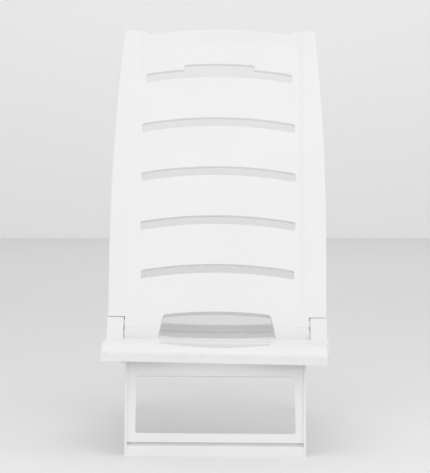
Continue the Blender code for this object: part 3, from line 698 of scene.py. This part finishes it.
def seat_arm(side):
    """Arm that runs back and down from the seat's rear edge to the lug the rear frame rests on."""
    low, high = span(side, 0.1480, 0.1560)
    lug_y, lug_z = BACK_HINGE.y - LIP_Y + LUG_OUT, BACK_HINGE.z - LUG_DOWN
    rear_z = seat_top(SEAT_DEPTH)
    arm = [(0.2900, seat_top(0.29) - 0.0020), (0.3215, rear_z - 0.0035), (0.3310, rear_z - 0.0135),
           (0.3800, rear_z - 0.0135), (lug_y - 0.050, lug_z + 0.003), (lug_y + 0.004, lug_z + 0.009),
           (lug_y + 0.009, lug_z + 0.004), (lug_y + 0.009, lug_z - 0.007), (lug_y - 0.004, lug_z - 0.013),
           (lug_y - 0.060, lug_z - 0.020), (0.3600, rear_z - 0.0300), (0.3000, rear_z - 0.0290),
           (0.2900, seat_top(0.29) - 0.0180)]
    lug = slab([circle(LUG_RADIUS, lug_y, lug_z, 32)], *span(side, 0.1550, REAR_INNER - 0.0006),
               FINE_EDGE)
    return [at_lip(slab([arm], low, high)), at_lip(lug)]


def seat_crossbar():
    """Bowed bar between the arms: a thick lower bar, a channel above it and two small ribs."""
    half, bow, height = 0.1490, 0.0060, 0.0125
    centre_z = BACK_HINGE.z - LUG_DOWN
    front = BACK_HINGE.y + LUG_OUT - 0.012
    rear = BACK_HINGE.y + LUG_OUT + 0.007
    stations = [x / 1000 for x in range(-144, 150, 8)]

    def bowed(co):
        return Vector((co.x, co.y, co.z + centre_z - bow * (1.0 - (co.x / half) ** 2)))

    plates = [((front + 0.0040, -height), (front + 0.0070, height), EDGE),
              ((front + 0.0012, height - 0.0035), (rear - 0.0004, height), EDGE),
              ((front, -0.0050), (rear - 0.0004, -0.0020), EDGE),
              ((front, -height), (front + 0.0030, -0.0026), 0.0012)]
    shapes = [bar((-half, *low), (half, *high), edge, stations, 0) for low, high, edge in plates]
    for x in (-0.062, 0.062):
        shapes.append(bar((x - 0.0013, front + 0.0022, -height + 0.002),
                          (x + 0.0013, rear - 0.001, height - 0.002), 0.0005))
    return [move(shape, bowed) for shape in shapes]


def front_bracket(low, high, radius, rear_reach):
    """Plate under the seat with the bore for a front leg's pin."""
    y, z = FRONT_HINGE.y - LIP_Y, FRONT_HINGE.z
    top = seat_top(y) - 0.002 + twist((low + high) / 2, y)
    outline = [(y - 0.0110, top), (y - radius, z)]
    outline += [(y - radius * cos(pi * i / 12), z - radius * sin(pi * i / 12)) for i in range(1, 12)]
    outline += [(y + radius, z), (y + rear_reach, top)]
    return at_lip(slab([outline, circle(BORE, y, z, BORE_STEPS)], low, high, FINE_EDGE))


def seat_ribs():
    """Ribs under the seat from front to rear, at x, starting at y, as deep as stated."""
    ribs = []
    for x, start, bottom in ((0.1110, 0.010, 0.0120), (0.1400, 0.010, 0.0120), (0.1800, 0.078, 0.0240)):
        for side in (-1, 1):
            ys = fill([start, CREST_Y + 0.05, SEAT_DEPTH - 0.0025], 0.012)
            surface_line = [(y, seat_top(y) + twist(side * x, y)) for y in ys]
            outline = [(y, z - 0.0015) for y, z in surface_line]
            outline += [(y, z - bottom) for y, z in reversed(surface_line)]
            ribs.append(at_lip(slab([outline], side * x - RIB_HALF, side * x + RIB_HALF, 0.0003)))
    return ribs


def make_seat():
    shapes = [seat_shell()] + seat_crossbar() + seat_ribs()
    y, z = FRONT_HINGE.y, FRONT_HINGE.z
    for side in (-1, 1):
        shapes += seat_ear(side) + seat_arm(side)
        shapes.append(front_bracket(*span(side, 0.1620, 0.1700), 0.0125, 0.0150))
        shapes.append(front_bracket(*span(side, 0.1370, 0.1440), 0.0085, 0.0072))
        # Stop that the front frame's heel rests against.
        low, high = span(side, 0.1450, 0.1590)
        top = seat_top(y - LIP_Y) - 0.002 + twist((low + high) / 2, y - LIP_Y)
        shapes.append(bar((low, y + 0.0104, z + 0.0100), (high, y + 0.0140, top), 0.0005))
    piece("seat_moulding", shapes, "seat", "seat_panel", white)


# ---------------------------------------------------------------- front leg frame
FRONT_LENGTH = FRONT_HINGE.z / cos(FRONT_LEAN)
FOOT_PROFILE = ((0.0, -0.0084), (0.0150, -0.0084), (0.0172, -0.0072), (0.0190, -0.0016),
                (0.0230, 0.0010), (FOOT_STEP, RECESS - FRONT_FACE), (1.0, RECESS - FRONT_FACE))


def front_plan(co):
    """The front frame's grid as x, distance up from the foot and depth; z is the share of the skirt."""
    u, v, share = co
    side = 1.0 if u >= 0 else -1.0
    u = abs(u)
    widen = (OPENING_HALF_BOTTOM - OPENING_HALF_TOP) * smooth((FRONT_LENGTH - OPENING_TOP - v) / 0.10)
    widen *= 1.0 - smooth((u - OPENING_HALF_TOP) / (FRONT_HALF - FLANGE - OPENING_HALF_TOP))
    x = u + widen * min(u / OPENING_HALF_TOP, 1.0)
    face = between(FOOT_PROFILE, v)
    face += (-FRONT_FACE - face) * min(max((u - (FRONT_HALF - FLANGE)) / FLANGE_RISE, 0.0), 1.0)
    n = face + (FRONT_REAR - face) * share
    if v < TINY:
        v = n * tan(FRONT_LEAN)
    return Vector((side * x, v, n))


def front_place(co):
    x, up, n = co
    z = up - FRONT_LENGTH
    return Vector((x, FRONT_HINGE.y + n * cos(FRONT_LEAN) + z * sin(FRONT_LEAN),
                   FRONT_HINGE.z - n * sin(FRONT_LEAN) + z * cos(FRONT_LEAN)))


def from_hinge(co):
    """Place a side view slab that is drawn around the front hinge."""
    return front_place(Vector((co.x, co.z + FRONT_LENGTH, co.y)))


def make_front_frame():
    us = mirrored(fill([0.0, CUT_INNER, OPENING_HALF_TOP - CHAMFER, OPENING_HALF_TOP, CUT_OUTER, 0.1530,
                        FRONT_HALF - FLANGE, FRONT_HALF - FLANGE + FLANGE_RISE, FRONT_HALF], FRONT_GRID))
    top = FRONT_LENGTH - 0.0050
    cut = FRONT_LENGTH - SIDE_TOP_CUT
    opening_top = FRONT_LENGTH - OPENING_TOP
    vs = fill([0.0, 0.0050, 0.0150, 0.0172, 0.0190, 0.0230, FOOT_STEP, 0.0290,
               OPENING_BOTTOM - CHAMFER, OPENING_BOTTOM, OPENING_BOTTOM + CHAMFER,
               opening_top - CHAMFER, opening_top, cut, top], FRONT_GRID)
    holes = [(-OPENING_HALF_TOP, OPENING_HALF_TOP, OPENING_BOTTOM, opening_top, CHAMFER, ("low", "high")),
             (CUT_INNER, CUT_OUTER, cut, 1.0, 0.0, ()), (-CUT_OUTER, -CUT_INNER, cut, 1.0, 0.0, ())]
    shape = sheet(us, vs, holes, [])
    add_skirts(shape, lambda u, v: 1.0, SKIRT_RINGS)
    move(shape, front_plan)
    shapes = [move(moulded(shape, [], 0.0, 0.0007), front_place)]
    for side in (-1, 1):
        eye = ring(EYE_RADIUS, *span(side, EYE_INNER, FRONT_HALF))
        shapes.append(move(eye, lambda co: co + Vector((0.0, FRONT_HINGE.y, FRONT_HINGE.z))))
        heel = [(-0.0040, 0.0062), (0.0070, 0.0062), turn(0.0100, 0.0165, 14.0), turn(0.0020, 0.0165, 14.0)]
        block = slab([heel], *span(side, EYE_INNER, FRONT_HALF), 0.0004)
        shapes.append(move(block, from_hinge))
    # Gate mark: a small square boss on the web above the opening.
    gate_z, gate_half = OPENING_TOP - 0.0080, 0.0016
    near, far = -FRONT_FACE + 0.0026, -FRONT_FACE + 0.0040
    mark = slab([[(near, -gate_z - gate_half), (far, -gate_z - gate_half),
                  (far, -gate_z + gate_half), (near, -gate_z + gate_half)]],
                -gate_half, gate_half, 0.0003)
    shapes.append(move(mark, from_hinge))
    piece("front_frame_moulding", shapes, "front_legs", "front_leg_frame", white)


# ---------------------------------------------------------------- rear leg frame
def rear_tilt():
    """Lean of the rear frame, in degrees, at which its first notch holds the lug."""
    away = LUG_OUT - (REAR_HINGE.y - BACK_HINGE.y)
    down = REAR_HINGE.z - BACK_HINGE.z + LUG_DOWN
    reach = hypot(away, down)
    return -(asin(-away / reach) - asin(LUG_INSET / reach)) * 180 / pi


def rear_place(co):
    y, z = turn(co.y, co.z, rear_tilt())
    return Vector((co.x, REAR_HINGE.y + y, REAR_HINGE.z + z))


def lug_in_rear_frame(step):
    """Where the lug meets the rear frame at a notch, in the frame's own side view."""
    lug_y, lug_z = turn(LUG_OUT, -LUG_DOWN, step * STEP_ANGLE)
    y, z = lug_y - (REAR_HINGE.y - BACK_HINGE.y), lug_z - (REAR_HINGE.z - BACK_HINGE.z)
    return turn(y, z, -rear_tilt())


def make_rear_frame():
    half, tilt = REAR_DEPTH / 2, rear_tilt()
    length = REAR_HINGE.z / cos(radians(tilt))
    notches = [lug_in_rear_frame(step) for step in range(NOTCHES)]
    reach = LUG_RADIUS + 0.0005
    slope = tan(radians(tilt))
    rise, overshoot = 0.0035, 0.01
    outline = [(half * cos(pi * i / 20), half * sin(pi * i / 20)) for i in range(21)]
    for y, z in sorted(notches, key=lambda notch: -notch[1]):
        lip = (-half - y) / (-half - overshoot - y)
        outline += [(-half, z + reach + (rise + 0.001) * lip)]
        outline += [(y + reach * sin(pi * i / 10), z + reach * cos(pi * i / 10)) for i in range(11)]
        outline += [(-half, z - reach + rise * lip)]
    outline += [(-half, -length + half * slope), (half, -length - half * slope)]
    rack_top, rack_bottom = notches[-1][1] + 0.014, notches[0][1] - 0.012
    hollows = []
    inside = half - WALL
    for low, high in ((-length + 0.012, rack_bottom), (rack_top, -0.016)):
        hollows.append([(-inside, low), (inside, low), (inside, high), (-inside, high)])
    bore = circle(BORE, steps=BORE_STEPS)
    shapes = []
    for side in (-1, 1):
        shapes.append(slab([outline, bore], *span(side, REAR_OUTER - WALL, REAR_OUTER)))
        shapes.append(slab([outline, bore] + hollows,
                           *span(side, REAR_INNER, REAR_OUTER - WALL + 0.0012), FINE_EDGE))
    # Each crossbar is a front plate with a flange above and below, and ribs between them.
    sink = REAR_INNER + 0.001
    for z in REAR_CROSSBARS:
        low, high = z - REAR_CROSSBAR_HEIGHT / 2, z + REAR_CROSSBAR_HEIGHT / 2
        shapes += [bar((-sink, 0.0, low), (sink, WALL, high)),
                   bar((-sink, 0.0004, high - WALL), (sink, half, high)),
                   bar((-sink, 0.0004, low), (sink, half, low + WALL))]
        for x in (-0.106, -0.053, 0.0, 0.053, 0.106):
            shapes.append(bar((x - 0.0011, 0.002, low + 0.002),
                              (x + 0.0011, half - 0.0012, high - 0.002), RIB_EDGE))
    shapes = [move(shape, rear_place) for shape in shapes]
    piece("rear_frame_moulding", shapes, "rear_legs", "rear_leg_frame", white)


make_seat()
make_back()
make_front_frame()
make_rear_frame()


# ---------------------------------------------------------------- studio
def surface(name, axis, fade, painted_light_greys, roughness, corners):
    """A large flat stage piece, faintly uneven, that goes from one grey to another along an axis; this grey
    ramp is painted light falloff.
    """
    mesh = bpy.data.meshes.new(name)
    mesh.from_pydata(corners, [], [(0, 1, 2, 3)])
    obj = bpy.data.objects.new(name, mesh)
    bpy.context.scene.collection.objects.link(obj)
    material = bpy.data.materials.new(name)
    material.use_nodes = True
    nodes, links = material.node_tree.nodes, material.node_tree.links
    shader = nodes["Principled BSDF"]
    shader.inputs["Roughness"].default_value = roughness
    shader.inputs["Specular IOR Level"].default_value = 0.2
    place = nodes.new("ShaderNodeTexCoord")
    parts = nodes.new("ShaderNodeSeparateXYZ")
    links.new(place.outputs["Object"], parts.inputs["Vector"])
    along = nodes.new("ShaderNodeMapRange")
    along.interpolation_type = "SMOOTHSTEP"
    along.inputs["From Min"].default_value, along.inputs["From Max"].default_value = fade
    links.new(parts.outputs[axis], along.inputs["Value"])
    texture = nodes.new("ShaderNodeTexNoise")
    texture.inputs["Scale"].default_value = 1.3
    links.new(place.outputs["Object"], texture.inputs["Vector"])
    uneven = nodes.new("ShaderNodeMath")
    uneven.operation = "MULTIPLY_ADD"
    uneven.inputs[1].default_value = 0.12
    links.new(texture.outputs["Fac"], uneven.inputs[0])
    links.new(along.outputs["Result"], uneven.inputs[2])
    # Painted light: the two greys ramp along the axis in place of the lamps' falloff.
    ramp = nodes.new("ShaderNodeValToRGB")
    for element, grey in zip(ramp.color_ramp.elements, painted_light_greys):
        element.color = (grey, grey, grey, 1.0)
    links.new(uneven.outputs["Value"], ramp.inputs["Fac"])
    links.new(ramp.outputs["Color"], shader.inputs["Base Color"])
    mesh.materials.append(material)


FLOOR_HALF = 9.0
BACKDROP_Y = LIP_Y + 4.11
BACKDROP_HALF = 1.3
BACKDROP_TOP = 0.95
BACKDROP_SKEW = BACKDROP_HALF * tan(radians(4.2))
NEAR_LEFT = (-BACKDROP_HALF, BACKDROP_Y - BACKDROP_SKEW)
FAR_RIGHT = (BACKDROP_HALF, BACKDROP_Y + BACKDROP_SKEW)
# Floor: painted light falloff, lighter near the front and darker towards the back.
surface("floor", "Y", (-0.6, 2.6), (0.865, 0.715), 0.65,
        [(-FLOOR_HALF, -FLOOR_HALF, 0.0), (FLOOR_HALF, -FLOOR_HALF, 0.0),
         (FLOOR_HALF, FLOOR_HALF, 0.0), (-FLOOR_HALF, FLOOR_HALF, 0.0)])
# Backdrop: painted light, a little lighter towards its top.
surface("backdrop", "Z", (0.0, 0.8), (0.87, 0.90), 0.8,
        [(*NEAR_LEFT, 0.0), (*FAR_RIGHT, 0.0), (*FAR_RIGHT, BACKDROP_TOP), (*NEAR_LEFT, BACKDROP_TOP)])


def area_light(name, place, target, size, energy):
    lamp = bpy.data.lights.new(name, "AREA")
    lamp.shape = "RECTANGLE"
    lamp.size, lamp.size_y = size
    lamp.energy = energy
    obj = bpy.data.objects.new(name, lamp)
    bpy.context.scene.collection.objects.link(obj)
    obj.location = place
    obj.rotation_euler = (Vector(target) - Vector(place)).to_track_quat("-Z", "Y").to_euler()


area_light("overhead", (0.0, -1.0, 2.4), (0.0, -0.6, 0.0), (2.6, 2.0), 8.0)
area_light("front_left", (-2.3, -3.2, 1.5), (0.0, 0.1, 0.2), (1.6, 1.0), 7.0)
area_light("front_right", (2.3, -3.2, 1.5), (0.0, 0.1, 0.2), (1.6, 1.0), 7.0)
area_light("front_low", (0.0, -4.6, 1.25), (0.0, 0.1, 0.15), (1.8, 0.5), 3.5)
area_light("side_right", (2.6, -0.4, 1.7), (0.0, 0.0, 0.1), (1.3, 1.3), 7.0)
area_light("backdrop_wash", (0.25, 2.2, 2.4), (0.1, 4.0, 0.55), (1.6, 1.0), 9.0)

WORLD_STRENGTH = 0.80
world = bpy.data.worlds.new("studio")
world.use_nodes = True
background = world.node_tree.nodes["Background"]
background.inputs["Color"].default_value = (1.0, 1.0, 1.0, 1.0)
background.inputs["Strength"].default_value = WORLD_STRENGTH

scene = bpy.context.scene
scene.world = world
scene.view_settings.view_transform = "Standard"

# ---------------------------------------------------------------- camera
CAMERA_PLACE = (0.0227, LIP_Y - 4.456, 0.8087)
CAMERA_LENS = 194.09
CAMERA_DOWN = 5.359
CAMERA_TURN = 0.292
CAMERA_ROLL = 0.4
camera_data = bpy.data.cameras.new("camera")
camera_data.lens = CAMERA_LENS
camera_data.sensor_width = 36.0
camera_data.sensor_fit = "AUTO"
camera_data.shift_x = -0.0034
camera_data.clip_end = 60.0
camera = bpy.data.objects.new("camera", camera_data)
scene.collection.objects.link(camera)
camera.location = CAMERA_PLACE
aim = Matrix.Rotation(radians(CAMERA_TURN), 4, "Z") @ Matrix.Rotation(radians(90.0 - CAMERA_DOWN), 4, "X")
camera.rotation_euler = (aim @ Matrix.Rotation(radians(CAMERA_ROLL), 4, "Z")).to_euler()
scene.camera = camera
